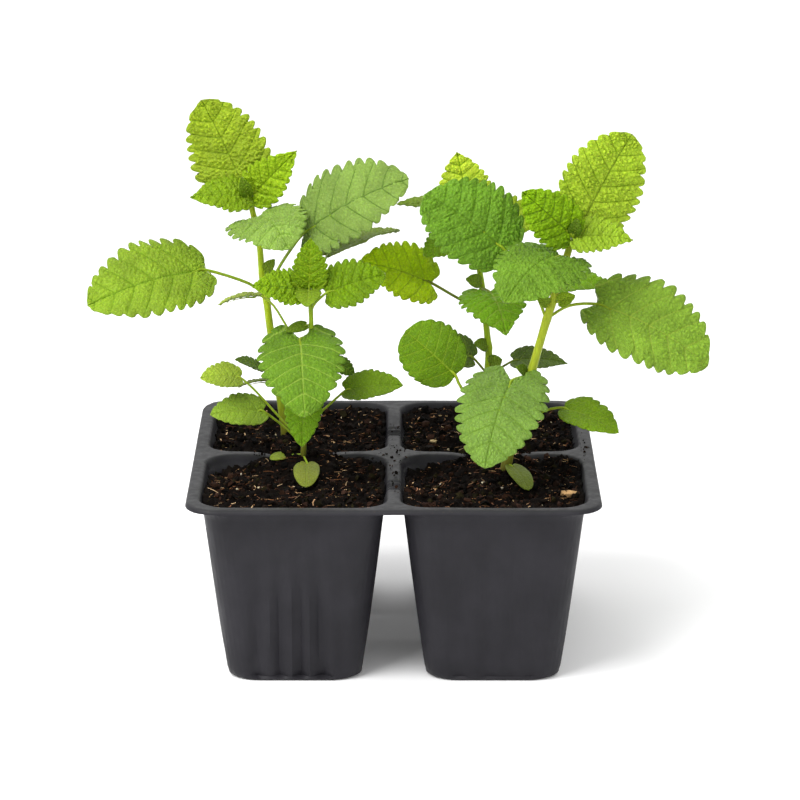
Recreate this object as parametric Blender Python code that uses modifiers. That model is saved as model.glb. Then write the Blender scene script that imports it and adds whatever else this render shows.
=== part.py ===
"""Four young lemon balm plants growing in a square nursery tray with four pots.

Metres, +Z up.  Sizes in the tables below are millimetres from the middle of the tray at
the ground, and are turned into metres where they are used.
"""
import math
import random
from collections import namedtuple

import bmesh
import bpy
from mathutils import Matrix, Vector

MM = 0.001

# Tray of four pots, formed from one sheet
TRAY_HEIGHT = 0.0645
CELL_PITCH = 0.0675
CELL_OPENING = 0.063
RIM_SIZE = 0.1384
SHEET = 0.0008
LIP_DROP = 0.0016
RIM_CORNER = 0.009
POT_CORNER = 0.009
POT_RINGS = ((0.0030, 0.0612), (0.0042, 0.0598), (0.0610, 0.0474), (0.0637, 0.0442))
DRAIN_RADIUS = 0.006

# Soil in each pot
SOIL_LEVEL = 0.0600
SOIL_TOP_WIDTH = 0.0596
SOIL_FLOOR_WIDTH = 0.0415
SOIL_FLOOR = 0.0011
SOIL_CORNER_PULL = 0.045
SOIL_STEPS = 9
SOIL_ROUGHNESS = 0.0007
MOUND_HEIGHT = 0.0040
MOUND_SPREAD = 0.011
STEM_HOLE_GAP = 0.0003
STEM_HOLE_SIDES = 10
STEM_DEPTH = 0.012

# Leaves
BLADE = 0.0008
TOOTH_DEPTH = 0.07
TOOTH_SWEEP = 0.35
TIP_WIDTH = 0.10
TIP_POWER = 0.62
BASE_POWER = 0.40
BASE_START = 0.012
WIDEST = 0.511
LOBE_FALL = 3
LOBE_POWER = 1.5

# Stems and stalks, thickest at the foot
STEM_FOOT = 1.2
STEM_TAPER = 0.45
STALK_RADIUS = 0.0006
STALK_FOOT = 1.25
STALK_TAPER = 0.45
SMALL_STALK = 0.55
FULL_STALK_WIDTH = 50
RIB_REACH = 0.22

Leaf = namedtuple("Leaf", "name foot via base tip width face arch fold lobe teeth")


def leaf(name, foot, base, tip, width, face=(0, -0.64, 0.77), via=(), arch=0.08, fold=0.12,
         lobe=0.10, teeth=5):
    """One leaf: foot is where its stalk leaves the stem, and face is the way its upper side looks."""
    return Leaf(name, foot, via, base, tip, width, face, arch, fold, lobe, teeth)


FRONT_LEFT = dict(
    node="plant_front_left", color=(0.16, 0.36, 0.035, 1), radius=0.0008,
    stem=((-31.5, -14, 66), (-30, -14, 90), (-28.5, -14, 112), (-28.5, -14, 120), (-29, -14, 127)),
    leaves=(
        leaf("seed_leaf_front", (-31.4, -14, 67.5), (-30, -18, 66), (-30, -34.5, 62.4), 9, (0, -0.2, 1),
             fold=0, teeth=0),
        leaf("seed_leaf_left", (-31.4, -14, 68), (-37, -12, 67), (-43, -14, 66.5), 4, (0, -0.5, 1), fold=0,
             teeth=0),
        leaf("low_left", (-31.3, -14, 71), (-45, -16, 84), (-63, -20, 84), 14, (0, -0.6, 0.8),
             via=((-37, -14, 77),),
             teeth=4),
        leaf("low_left_upper", (-31.2, -14, 72), (-53, -14, 95.5), (-66.5, -16, 96), 12, (0, -0.5, 0.85),
             via=((-40, -14.5, 82), (-48, -14, 91)), teeth=3),
        leaf("low_front", (-29.8, -14, 95), (-30.5, -20, 94.5), (-31.5, -32, 76), 13, (0, -0.9, 0.5),
             teeth=4),
        leaf("low_right", (-30.6, -14, 79), (-16.5, -16, 91.5), (3, -18, 94), 13, (0, -0.55, 0.84),
             via=((-24, -15, 84.5),), teeth=4),
        leaf("front_big", (-28.5, -14, 110), (-32, -19, 110.5), (-30, -45, 90), 28, (0, -0.6, 0.8),
             arch=0.16, lobe=0.24, fold=-0.08, teeth=6),
        leaf("top_left", (-29, -14, 125), (-31.5, -16, 126.5), (-48.5, -18, 129), 14, (0, -0.6, 0.8),
             teeth=4),
        leaf("top_centre", (-29, -14, 126), (-29, -15, 127.5), (-28.5, -14, 144.5), 13, (0.1, -1, 0.1),
             teeth=4),
        leaf("top_front", (-29, -14, 126), (-29, -16, 127), (-29.5, -25, 123.5), 8.5, (0, -0.5, 0.9),
             teeth=2),
        leaf("upper_right", (-28.4, -14, 119), (-23, -16, 126), (-3, -14, 132), 17, (0, -0.75, 0.66),
             via=((-27, -15, 122),), teeth=5),
        leaf("upper_back", (-28.4, -14, 120), (-23, 15, 132), (2, 34, 136.5), 16, (0, 0.10, 1),
             via=((-27, -6, 127), (-25, 4, 130.5)), teeth=4),
        leaf("upper_left", (-29.2, -14, 103), (-46.5, -5, 122.5), (-60.5, -6, 119.5), 11, (-0.2, 0.15, 1),
             via=((-35.5, -9, 110), (-41.5, -6, 119)), teeth=3),
        leaf("bud_left", (-28.5, -14, 114), (-30, -15.5, 114.5), (-37, -18, 113), 4, (0, -0.8, 0.6), teeth=0),
    ))

REAR_LEFT = dict(
    node="plant_rear_left", color=(0.22, 0.42, 0.04, 1), radius=0.00125,
    stem=((-39, 25, 66), (-43.5, 25, 100.5), (-45, 25, 113.5), (-46.5, 25, 123), (-47.5, 25, 135),
          (-50.5, 25, 149.5)),
    leaves=(
        leaf("big_left", (-45, 25, 114), (-63, 18, 126), (-106, 0, 117.5), 31, via=((-51, 22, 120),),
             teeth=8),
        leaf("big_right", (-45, 25, 114), (-31, 10, 141), (5, 2, 162), 31,
             via=((-41, 20, 125), (-34.5, 13, 136.5)),
             teeth=8),
        leaf("front_heart", (-49, 25, 142), (-47.5, 16, 145), (-36, -6, 139), 27, (0, -0.55, 0.84), arch=0.20,
             lobe=0.22, fold=-0.10, teeth=6),
        leaf("top_back", (-50.5, 25, 148), (-51.5, 24.5, 151), (-67.5, 34, 183), 25, (-0.30, -0.92, 0.25),
             arch=-0.05, fold=0.05, teeth=7),
        leaf("top_right", (-50.5, 25, 148), (-50, 24, 151), (-34, 22, 167.5), 13, (0.3, -0.85, 0.5), teeth=4),
        leaf("top_left", (-50.5, 25, 148), (-51, 23, 151), (-71, 20, 151.5), 14, (0, -0.6, 0.8), teeth=4),
        leaf("top_centre", (-50.5, 25, 148), (-51, 22.5, 151), (-53, 20, 158.5), 4.5, (0, -1, 0.2), teeth=0),
        leaf("bud_right", (-46.5, 25, 122), (-45.5, 24, 124), (-42, 22, 128.5), 4, (0, -0.9, 0.4), teeth=0),
        leaf("low_left", (-41.4, 25, 84), (-47, 22, 89), (-56, 20, 93), 7, (0, -0.3, 1), teeth=2),
        leaf("low_left_edge", (-41.2, 25, 82), (-44, 21, 85), (-55, 18, 83.5), 7, (0, 0.2, 1), teeth=2),
        leaf("low_right", (-41.6, 25, 86), (-21, 18, 93), (-14, 16, 88.5), 6, (0, -0.8, 0.6), teeth=2),
    ))

FRONT_RIGHT = dict(
    node="plant_front_right", color=(0.18, 0.38, 0.035, 1), radius=0.0015,
    stem=((38.3, -20, 64), (42.5, -20, 81), (47, -20, 98.5), (52.3, -20, 118), (55.3, -19, 127.5),
          (60.5, -18, 145)),
    leaves=(
        leaf("seed_leaf_front", (38.8, -20, 66), (40.5, -23, 66.5), (46, -38.5, 62.4), 7.5, (0.1, -0.2, 1),
             fold=0, teeth=0),
        leaf("low_left", (42.2, -20, 80), (21, -24, 99), (4, -20, 113.5), 22, (0, -0.85, 0.5),
             via=((25, -24, 92.5),), teeth=5),
        leaf("low_right", (42.4, -20, 80.5), (58, -26, 88), (76.5, -34, 81.5), 15, (0, -0.45, 0.9),
             via=((52, -24, 86.5),), teeth=5),
        leaf("front_big", (46.8, -20, 98), (40.5, -25, 97.5), (30.5, -55, 75), 29, (-0.1, -0.6, 0.8),
             arch=0.14, lobe=0.20, fold=-0.06, teeth=7),
        leaf("big_right", (52.3, -20, 118), (69.5, -18, 122.5), (107, -26, 103), 33, (0, -0.62, 0.78),
             via=((60, -18, 122),), arch=0.10, teeth=8),
        leaf("big_left", (52.3, -20, 117), (38, -18, 141), (10.5, -8, 158.5), 31, (0, -0.72, 0.69),
             via=((48, -19, 127),), arch=0.12, teeth=8),
        leaf("front_upper", (58.2, -18.5, 137), (56.5, -21, 140), (37, -48, 130.5), 29, (-0.15, -0.62, 0.77),
             arch=0.16, fold=-0.12, lobe=0.18, teeth=7),
        leaf("top_back", (60.5, -18, 144), (63.5, -16.5, 149), (81, -6, 179), 26, (0.28, -0.92, 0.28),
             arch=-0.05, fold=0.05, teeth=7),
        leaf("top_right", (60.5, -18, 144), (61.5, -19, 146.5), (81, -22, 146), 14, (0, -0.6, 0.8), teeth=4),
        leaf("top_left", (60.5, -18, 144), (60.5, -20, 147), (43.5, -22, 162.5), 17, (-0.3, -0.8, 0.5),
             teeth=5),
        leaf("top_centre", (60.5, -18, 144), (61, -20, 147), (62, -22, 153), 4.5, (0, -1, 0.2), teeth=0),
        leaf("bud_right", (53.8, -19.5, 123), (56, -21, 124), (61.5, -22, 126.5), 5, (0, -0.9, 0.4), teeth=0),
        leaf("bud_left", (53.6, -19.5, 122), (52.5, -21, 123), (49, -22, 126.5), 4, (0, -0.9, 0.4), teeth=0),
        leaf("bud_low", (47, -20, 98.5), (45.5, -21.5, 99), (42, -24, 102), 4.5, (0, -0.7, 0.7), teeth=0),
    ))

REAR_RIGHT = dict(
    node="plant_rear_right", color=(0.25, 0.42, 0.04, 1), radius=0.0012,
    stem=((33.2, 28, 64), (33.6, 28, 92), (33.2, 28, 98), (30.7, 28, 120), (26.7, 28, 143.5)),
    leaves=(
        leaf("low_right", (33.5, 28, 85), (42.5, 26, 91), (61.5, 26, 90), 12, (0, -0.45, 0.9), teeth=4),
        leaf("low_left", (33.5, 28, 85), (28, 26, 92), (11, 25, 98), 14, (0, -0.6, 0.8), teeth=4),
        leaf("front_heart", (31, 28, 117), (33.5, 20, 117.5), (39, 0, 107), 23, (0, -0.6, 0.8), arch=0.20,
             lobe=0.20, fold=-0.10, teeth=5),
        leaf("big_left", (32, 28, 108), (13, 22, 120.3), (-12, 15, 129.5), 22, (0, -0.72, 0.69),
             via=((22, 24, 114.5),), lobe=0.14, teeth=6),
        leaf("right", (32, 28, 108), (52, 26, 117), (74, 18, 121), 18, (0, -0.30, 0.95),
             via=((42, 27, 113.5),),
             teeth=5),
        leaf("top_back", (26.8, 28, 142), (26.5, 28.5, 145), (22, 31, 165), 18, (-0.05, -1, 0.2), arch=-0.05,
             fold=0.05, teeth=5),
        leaf("top_right", (26.8, 28, 142), (29, 26, 144), (50, 21, 141.5), 18, (0.1, -0.75, 0.66), teeth=5),
        leaf("top_left", (26.8, 28, 142), (24.5, 26, 144), (1, 23, 148.5), 13, (0, -0.1, 1), teeth=4),
        leaf("upper_left", (27.9, 28, 136), (24, 22, 138), (10.5, 16, 131.5), 13, (-0.2, -0.7, 0.7), teeth=4),
        leaf("bud_upper", (31, 28, 118), (30.5, 26, 119.5), (25.5, 23, 121.5), 5, (0, -0.9, 0.4), teeth=0),
        leaf("bud_middle", (33.3, 28, 96), (33, 26.5, 96), (28.5, 24, 98), 5, (0, -0.8, 0.6), teeth=0),
        leaf("bud_low", (33.5, 28, 89), (34, 26, 89.5), (38, 23, 92), 6, (0, -0.9, 0.4), teeth=0),
    ))

PLANTS = (FRONT_LEFT, REAR_LEFT, FRONT_RIGHT, REAR_RIGHT)
CELLS = {"front_left": (-1, -1), "rear_left": (-1, 1), "front_right": (1, -1), "rear_right": (1, 1)}


def clear_scene():
    for old in list(bpy.data.objects):
        bpy.data.objects.remove(old, do_unlink=True)


def make_collection(name):
    collection = bpy.data.collections.new(name)
    bpy.context.scene.collection.children.link(collection)
    return collection


def make_material(name, color, roughness, metallic=0.0):
    material = bpy.data.materials.new(name)
    material.use_nodes = True
    shader = material.node_tree.nodes["Principled BSDF"]
    shader.inputs["Base Color"].default_value = color
    shader.inputs["Roughness"].default_value = roughness
    shader.inputs["Metallic"].default_value = metallic
    return material


def add_object(name, mesh, collection, material=None):
    obj = bpy.data.objects.new(name, mesh)
    collection.objects.link(obj)
    if material:
        mesh.materials.clear()
        mesh.materials.append(material)
    return obj


def object_from_bmesh(name, bm, collection, material=None):
    mesh = bpy.data.meshes.new(name)
    bm.to_mesh(mesh)
    bm.free()
    return add_object(name, mesh, collection, material)


def evaluated_mesh(obj):
    bpy.context.view_layer.update()
    depsgraph = bpy.context.evaluated_depsgraph_get()
    return bpy.data.meshes.new_from_object(obj.evaluated_get(depsgraph))


def apply_modifiers(obj):
    material = obj.data.materials[0] if obj.data.materials else None
    mesh = evaluated_mesh(obj)
    obj.modifiers.clear()
    obj.data = mesh
    if material:
        mesh.materials.clear()
        mesh.materials.append(material)


def boolean(obj, operation, other=None, collection=None, solver="EXACT"):
    modifier = obj.modifiers.new(operation.lower(), "BOOLEAN")
    modifier.operation = operation
    modifier.solver = solver
    if collection:
        modifier.operand_type = "COLLECTION"
        modifier.collection = collection
    else:
        modifier.object = other
    apply_modifiers(obj)


def as_cutter(obj):
    obj.hide_render = True
    obj.display_type = "WIRE"
    return obj


def cylinder_cutter(name, radius, bottom, top, x, y, collection, sides=STEM_HOLE_SIDES):
    bm = bmesh.new()
    bmesh.ops.create_cone(
        bm, cap_ends=True, segments=sides, radius1=radius, radius2=radius, depth=top - bottom,
        matrix=Matrix.Translation((x, y, (top + bottom) / 2)))
    return as_cutter(object_from_bmesh(name, bm, collection))


def scale_about(verts, centre, factor):
    for vert in verts:
        vert.co.x = centre.x + (vert.co.x - centre.x) * factor
        vert.co.y = centre.y + (vert.co.y - centre.y) * factor


def sink_pot(bm, face):
    """Extrudes one opening of the sheet down into a tapered pot."""
    centre = face.calc_center_median()
    width = CELL_OPENING
    for drop, ring_width in POT_RINGS:
        grown = bmesh.ops.extrude_face_region(bm, geom=[face])["geom"]
        bmesh.ops.delete(bm, geom=[face], context="FACES_ONLY")
        verts = [item for item in grown if isinstance(item, bmesh.types.BMVert)]
        face = next(item for item in grown if isinstance(item, bmesh.types.BMFace))
        scale_about(verts, centre, ring_width / width)
        width = ring_width
        for vert in verts:
            vert.co.z = TRAY_HEIGHT - SHEET - drop


def corner_edges_down(bm):
    """The edges that run down the corners of the pots."""
    return [edge for edge in bm.edges if abs(edge.verts[0].co.z - edge.verts[1].co.z) > 0.0005]


def make_tray(collection, cutters):
    material = make_material("tray_plastic", (0.030, 0.029, 0.033, 1), 0.38)
    bm = bmesh.new()
    bmesh.ops.create_grid(
        bm, x_segments=2, y_segments=2, size=CELL_PITCH,
        matrix=Matrix.Translation((0, 0, TRAY_HEIGHT - SHEET)))
    openings = list(bm.faces)
    bmesh.ops.inset_individual(bm, faces=openings, thickness=(CELL_PITCH - CELL_OPENING) / 2)
    for face in openings:
        sink_pot(bm, face)
    bmesh.ops.bevel(
        bm, geom=corner_edges_down(bm), offset=POT_CORNER, offset_type="OFFSET", segments=3, profile=0.5,
        affect="EDGES", clamp_overlap=True)
    add_rim(bm)
    bm.normal_update()
    tray = object_from_bmesh("tray", bm, collection, material)
    wall = tray.modifiers.new("sheet", "SOLIDIFY")
    wall.thickness = SHEET
    wall.offset = 1
    wall.use_even_offset = True
    apply_modifiers(tray)
    for name, (side_x, side_y) in CELLS.items():
        x = side_x * CELL_PITCH / 2
        y = side_y * CELL_PITCH / 2
        drain = cylinder_cutter(f"drain_{name}", DRAIN_RADIUS, -0.002, 0.004, x, y, cutters)
        boolean(tray, "DIFFERENCE", drain)
    return tray


def add_rim(bm):
    """The flange round the four openings, with rounded corners and a turned-down lip."""
    edges = [edge for edge in bm.edges if edge.is_boundary]
    grown = bmesh.ops.extrude_edge_only(bm, edges=edges)["geom"]
    verts = [item for item in grown if isinstance(item, bmesh.types.BMVert)]
    scale_about(verts, Vector((0, 0, 0)), RIM_SIZE / (2 * CELL_PITCH))
    edges = [item for item in grown if isinstance(item, bmesh.types.BMEdge) and item.is_boundary]
    grown = bmesh.ops.extrude_edge_only(bm, edges=edges)["geom"]
    verts = [item for item in grown if isinstance(item, bmesh.types.BMVert)]
    for vert in verts:
        vert.co.z -= LIP_DROP
    corners = [
        edge for edge in bm.edges
        if all(min(abs(vert.co.x), abs(vert.co.y)) > RIM_SIZE / 2 - 0.0001 for vert in edge.verts)]
    bmesh.ops.bevel(
        bm, geom=corners, offset=RIM_CORNER, offset_type="OFFSET", segments=4, profile=0.5, affect="EDGES")


def soil_height(x, y, plant):
    away = math.hypot(x - plant["stem"][0][0] * MM, y - plant["stem"][0][1] * MM)
    return SOIL_LEVEL + MOUND_HEIGHT * math.exp(-(away / MOUND_SPREAD) ** 2)


def make_soil(name, plant, collection, cutters):
    material = make_material(f"{name}_peat", (0.030, 0.018, 0.011, 1), 0.95)
    draw = random.Random(name)
    side_x, side_y = CELLS[name.removeprefix("soil_")]
    middle = Vector((side_x * CELL_PITCH / 2, side_y * CELL_PITCH / 2, 0))
    bm = bmesh.new()
    bmesh.ops.create_grid(bm, x_segments=SOIL_STEPS, y_segments=SOIL_STEPS, size=1)
    rim_edges = [edge for edge in bm.edges if edge.is_boundary]
    rim_verts = {vert for edge in rim_edges for vert in edge.verts}
    for vert in bm.verts:
        a, b = vert.co.x, vert.co.y
        pull = 1 - SOIL_CORNER_PULL * (a * b) ** 4 * 2
        vert.co.x = middle.x + a * pull * SOIL_TOP_WIDTH / 2
        vert.co.y = middle.y + b * pull * SOIL_TOP_WIDTH / 2
        grit = 0 if vert in rim_verts else draw.uniform(-SOIL_ROUGHNESS, SOIL_ROUGHNESS)
        vert.co.z = soil_height(vert.co.x, vert.co.y, plant) + grit
    grown = bmesh.ops.extrude_edge_only(bm, edges=rim_edges)["geom"]
    low_verts = [item for item in grown if isinstance(item, bmesh.types.BMVert)]
    low_edges = [item for item in grown if isinstance(item, bmesh.types.BMEdge)]
    scale_about(low_verts, middle, SOIL_FLOOR_WIDTH / SOIL_TOP_WIDTH)
    for vert in low_verts:
        vert.co.z = SOIL_FLOOR
    bmesh.ops.edgeloop_fill(bm, edges=[edge for edge in low_edges if edge.is_boundary])
    bmesh.ops.recalc_face_normals(bm, faces=bm.faces)
    soil = object_from_bmesh(name, bm, collection, material)
    x, y = plant["stem"][0][0] * MM, plant["stem"][0][1] * MM
    top = plant["stem"][0][2] * MM
    hole = cylinder_cutter(
        f"{name}_hole", hole_radius(plant), top - STEM_DEPTH - STEM_HOLE_GAP, top + 0.02, x, y, cutters)
    boolean(soil, "DIFFERENCE", hole)
    return soil


def hole_radius(plant):
    """Wide enough that the flats of the round hole clear the stem."""
    return (plant["radius"] * STEM_FOOT + STEM_HOLE_GAP) / math.cos(math.pi / STEM_HOLE_SIDES)


def tube(name, points, radii, sides_step, collection):
    """A closed round bar along the points, made from a curve."""
    curve = bpy.data.curves.new(name, "CURVE")
    curve.dimensions = "3D"
    curve.bevel_depth = 1.0
    curve.bevel_resolution = sides_step
    curve.use_fill_caps = True
    spline = curve.splines.new("POLY")
    spline.points.add(len(points) - 1)
    for point, place, radius in zip(spline.points, points, radii):
        point.co = (*place, 1)
        point.radius = radius
    curve_object = bpy.data.objects.new(name, curve)
    collection.objects.link(curve_object)
    mesh = evaluated_mesh(curve_object)
    bpy.data.objects.remove(curve_object, do_unlink=True)
    bm = bmesh.new()
    bm.from_mesh(mesh)
    bmesh.ops.remove_doubles(bm, verts=bm.verts, dist=0.00001)
    bmesh.ops.recalc_face_normals(bm, faces=bm.faces)
    return object_from_bmesh(name, bm, collection)


def smooth_path(points, steps):
    """Points on a smooth curve through the given ones."""
    ends = [2 * points[0] - points[1], *points, 2 * points[-1] - points[-2]]
    path = [points[0]]
    for before, start, end, after in zip(ends, ends[1:], ends[2:], ends[3:]):
        for step in range(1, steps + 1):
            t = step / steps
            path.append(0.5 * (
                2 * start + (end - before) * t + (2 * before - 5 * start + 4 * end - after) * t ** 2
                + (3 * start - before - 3 * end + after) * t ** 3))
    return path


def tapered(radius, foot, taper, count):
    """Radii that fall evenly from the foot of a stem or stalk to its end."""
    return [radius * (foot - taper * step / (count - 1)) for step in range(count)]


def half_width(u):
    """Width of a leaf along its midrib, from 0 to 1: broad near the base, blunt at the tip."""
    return ((1 - u) ** TIP_POWER) * ((u + BASE_START) ** BASE_POWER) / WIDEST


def leaf_frame(row):
    """Base point, length, and the directions along, across and out of a leaf."""
    base = Vector(row.base) * MM
    along = Vector(row.tip) * MM - base
    length = along.length
    along.normalize()
    out = Vector(row.face)
    out = (out - out.dot(along) * along).normalized()
    return base, length, along, out.cross(along), out


def leaf_point(row, u, v, rim_u=None):
    """A point of the blade: u runs along the midrib and v from -1 to 1 across it."""
    base, length, along, across, out = leaf_frame(row)
    half = row.width * MM / 2
    spread = v * half * max(half_width(u), TIP_WIDTH)
    if rim_u is not None:
        u = u + (rim_u - u) * v * v
    reach = u * length - row.lobe * length * (1 - u) ** LOBE_FALL * abs(v) ** LOBE_POWER
    rise = row.arch * length * 4 * u * (1 - u) + row.fold * abs(spread)
    return base + along * reach + across * spread + out * rise


def blade(name, row, collection):
    """The toothed blade, cut from a grid that is bent to the leaf's form."""
    rows = max(2 * row.teeth, 5)
    columns = 4 if row.teeth > 6 else 2
    bm = bmesh.new()
    bmesh.ops.create_grid(bm, x_segments=rows, y_segments=columns, size=1)
    for vert in bm.verts:
        step = round((vert.co.x + 1) / 2 * rows)
        u = step / rows
        v = vert.co.y
        rim_u = u
        if row.teeth and abs(v) > 0.9 and 0 < step < rows:
            peak = 1 if step % 2 else -1
            v *= 1 + TOOTH_DEPTH * peak
            rim_u = u + peak * TOOTH_SWEEP / rows
        vert.co = leaf_point(row, u, v, rim_u)
    bmesh.ops.triangulate(bm, faces=bm.faces)
    bm.normal_update()
    leaf_object = object_from_bmesh(name, bm, collection)
    sheet = leaf_object.modifiers.new("blade", "SOLIDIFY")
    sheet.thickness = BLADE
    sheet.offset = 0
    apply_modifiers(leaf_object)
    return leaf_object


def stalk(name, row, collection):
    """The leaf's stalk, which runs on under the blade as its thick midrib."""
    points = [Vector(point) * MM for point in (row.foot, *row.via, row.base)]
    points.append(leaf_point(row, RIB_REACH, 0))
    path = smooth_path(points, 2) if row.via else points
    size = min(1.0, SMALL_STALK + row.width / FULL_STALK_WIDTH)
    radii = tapered(STALK_RADIUS * size, STALK_FOOT, STALK_TAPER, len(path))
    return tube(name, path, radii, 0, collection)


def make_plant(plant, collection):
    """One plant: its stem, leaf stalks and blades joined in a single body."""
    name = plant["node"]
    material = make_material(f"{name}_green", plant["color"], 0.55)
    points = [Vector(point) * MM for point in plant["stem"]]
    root = points[0] - Vector((0, 0, STEM_DEPTH))
    path = [root] + smooth_path(points, 2)
    radii = tapered(plant["radius"], STEM_FOOT, STEM_TAPER, len(path))
    stem = tube(name, path, radii, 2, collection)
    stem.data.materials.append(material)
    pieces = make_collection(f"{name}_pieces")
    for row in plant["leaves"]:
        stalk(f"{name}_{row.name}_stalk", row, pieces)
        blade(f"{name}_{row.name}", row, pieces)
    boolean(stem, "UNION", collection=pieces, solver="MANIFOLD")
    for piece in list(pieces.objects):
        bpy.data.objects.remove(piece, do_unlink=True)
    bpy.data.collections.remove(pieces)
    return stem


def centre_on_ground(parts):
    """Parents the parts to an empty that puts the middle of their box over the origin."""
    bpy.context.view_layer.update()
    corners = [obj.matrix_world @ vert.co for obj in parts for vert in obj.data.vertices]
    low = Vector([min(corner[axis] for corner in corners) for axis in range(3)])
    high = Vector([max(corner[axis] for corner in corners) for axis in range(3)])
    empty = bpy.data.objects.new("lemon_balm_plant_origin", None)
    bpy.context.scene.collection.objects.link(empty)
    for obj in parts:
        obj.parent = empty
    empty.location = (-(low.x + high.x) / 2, -(low.y + high.y) / 2, -low.z)


def main():
    clear_scene()
    parts = make_collection("lemon_balm_plant")
    cutters = make_collection("cutters")
    made = [make_tray(parts, cutters)]
    for plant in PLANTS:
        cell = plant["node"].removeprefix("plant_")
        made.append(make_soil(f"soil_{cell}", plant, parts, cutters))
        made.append(make_plant(plant, parts))
    centre_on_ground(made)


main()
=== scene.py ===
import random
from math import atan2, cos, exp, hypot, pi, radians, sin, sqrt

import bmesh
import bpy
import numpy as np
from mathutils import Euler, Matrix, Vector, noise


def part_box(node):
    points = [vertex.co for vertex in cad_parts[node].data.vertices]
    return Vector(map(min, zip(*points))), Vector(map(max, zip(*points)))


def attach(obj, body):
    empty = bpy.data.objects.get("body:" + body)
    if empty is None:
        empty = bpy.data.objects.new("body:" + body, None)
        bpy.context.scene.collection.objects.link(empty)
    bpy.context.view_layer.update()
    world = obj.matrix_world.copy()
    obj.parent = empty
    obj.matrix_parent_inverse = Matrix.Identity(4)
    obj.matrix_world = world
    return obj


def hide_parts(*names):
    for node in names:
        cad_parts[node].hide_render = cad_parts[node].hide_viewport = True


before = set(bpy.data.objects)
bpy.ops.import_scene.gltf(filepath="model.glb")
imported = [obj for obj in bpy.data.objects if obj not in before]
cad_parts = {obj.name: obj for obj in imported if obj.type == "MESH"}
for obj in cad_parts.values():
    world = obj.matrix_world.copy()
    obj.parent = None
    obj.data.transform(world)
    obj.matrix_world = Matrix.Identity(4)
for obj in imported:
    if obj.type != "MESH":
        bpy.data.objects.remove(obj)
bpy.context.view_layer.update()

mm = 0.001
trayLow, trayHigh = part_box("tray")
trayMid = (trayLow + trayHigh) / 2
cells = {"FrontLeft": (-1, -1), "RearLeft": (-1, 1), "FrontRight": (1, -1), "RearRight": (1, 1)}
nodeNames = {"FrontLeft": "front_left", "RearLeft": "rear_left", "FrontRight": "front_right",
             "RearRight": "rear_right"}


def spot(x, y, z):  # millimetres from the middle of the tray, at the ground
    return Vector((trayMid.x + x * mm, trayMid.y + y * mm, z * mm))


def fromHex(code):  # a screen colour as the shader's linear one
    parts = [int(code[i:i + 2], 16) / 255 for i in (0, 2, 4)]
    return np.array([c / 12.92 if c <= 0.04045 else ((c + 0.055) / 1.055) ** 2.4 for c in parts])


def setMode(mode):
    bpy.ops.object.mode_set(mode=mode)


def deselectAll():
    if bpy.context.object and bpy.context.object.mode != "OBJECT":
        setMode("OBJECT")
    bpy.ops.object.select_all(action="DESELECT")


def onlyThis(piece):
    deselectAll()
    piece.select_set(True)
    bpy.context.view_layer.objects.active = piece


def settle(piece):  # puts the piece's place into its mesh
    onlyThis(piece)
    bpy.ops.object.transform_apply(location=True, rotation=True, scale=True)


def applyModifier(piece, modifier):
    onlyThis(piece)
    bpy.ops.object.modifier_apply(modifier=modifier.name)


def pick(piece, kind, test):  # in edit mode, selects the faces or edges that pass the test
    edit = bmesh.from_edit_mesh(piece.data)
    bpy.ops.mesh.select_all(action="DESELECT")
    bpy.context.tool_settings.mesh_select_mode = (False, kind == "edges", kind == "faces")
    for part in getattr(edit, kind):
        part.select_set(bool(test(part)))
    edit.select_flush_mode()
    bmesh.update_edit_mesh(piece.data)


def extrudeTo(down, share, centre, shareUp=1):  # in edit mode: what is selected goes down and is scaled
    bpy.ops.mesh.extrude_region_move(TRANSFORM_OT_translate={"value": (0, 0, down)})
    bpy.ops.transform.resize(value=(share, share, shareUp), center_override=centre)


def joinPieces(pieces, name):
    deselectAll()
    for piece in pieces:
        piece.select_set(True)
    bpy.context.view_layer.objects.active = pieces[0]
    bpy.ops.object.join()
    pieces[0].name = name
    pieces[0].data.name = name
    return pieces[0]


def standFor(piece, slotName, *nodes):
    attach(piece, "root")
    if nodes:
        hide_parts(*nodes)


def coat(piece, *materials):
    piece.data.materials.clear()
    for material in materials:
        piece.data.materials.append(material)


def smoothFaces(piece):
    piece.data.polygons.foreach_set("use_smooth", [True] * len(piece.data.polygons))


def meshPoints(piece):
    points = np.zeros(len(piece.data.vertices) * 3, np.float32)
    piece.data.vertices.foreach_get("co", points)
    return points.reshape(-1, 3).astype(float)


def setPoints(piece, points):
    piece.data.vertices.foreach_set("co", points.astype(np.float32).ravel())
    piece.data.update()


def setValues(piece, name, kind, key, rows):
    layer = piece.data.attributes.new(name, kind, "POINT")
    layer.data.foreach_set(key, np.asarray(rows, np.float32).ravel())


def setTint(piece, colours, name="tint"):
    rows = np.ones((len(piece.data.vertices), 4))
    rows[:, :3] = colours
    setValues(piece, name, "FLOAT_COLOR", "color", rows)


def smoothStep(low, high, x):
    t = np.clip((x - low) / (high - low), 0, 1)
    return t * t * (3 - 2 * t)


# Materials

def newMaterial(name, roughness, **sockets):
    material = bpy.data.materials.new(name)
    material.use_nodes = True
    tree = material.node_tree
    shader = tree.nodes["Principled BSDF"]
    shader.inputs["Roughness"].default_value = roughness
    for socket, value in sockets.items():
        shader.inputs[socket.replace("_", " ")].default_value = value
    return material, tree, shader


def addNode(tree, kind, inputs=None, **settings):
    node = tree.nodes.new("ShaderNode" + kind)
    for key, value in settings.items():
        setattr(node, key, value)
    for key, value in (inputs or {}).items():
        if hasattr(value, "is_output"):
            tree.links.new(value, node.inputs[key])
        else:
            node.inputs[key].default_value = value
    return node


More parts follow.
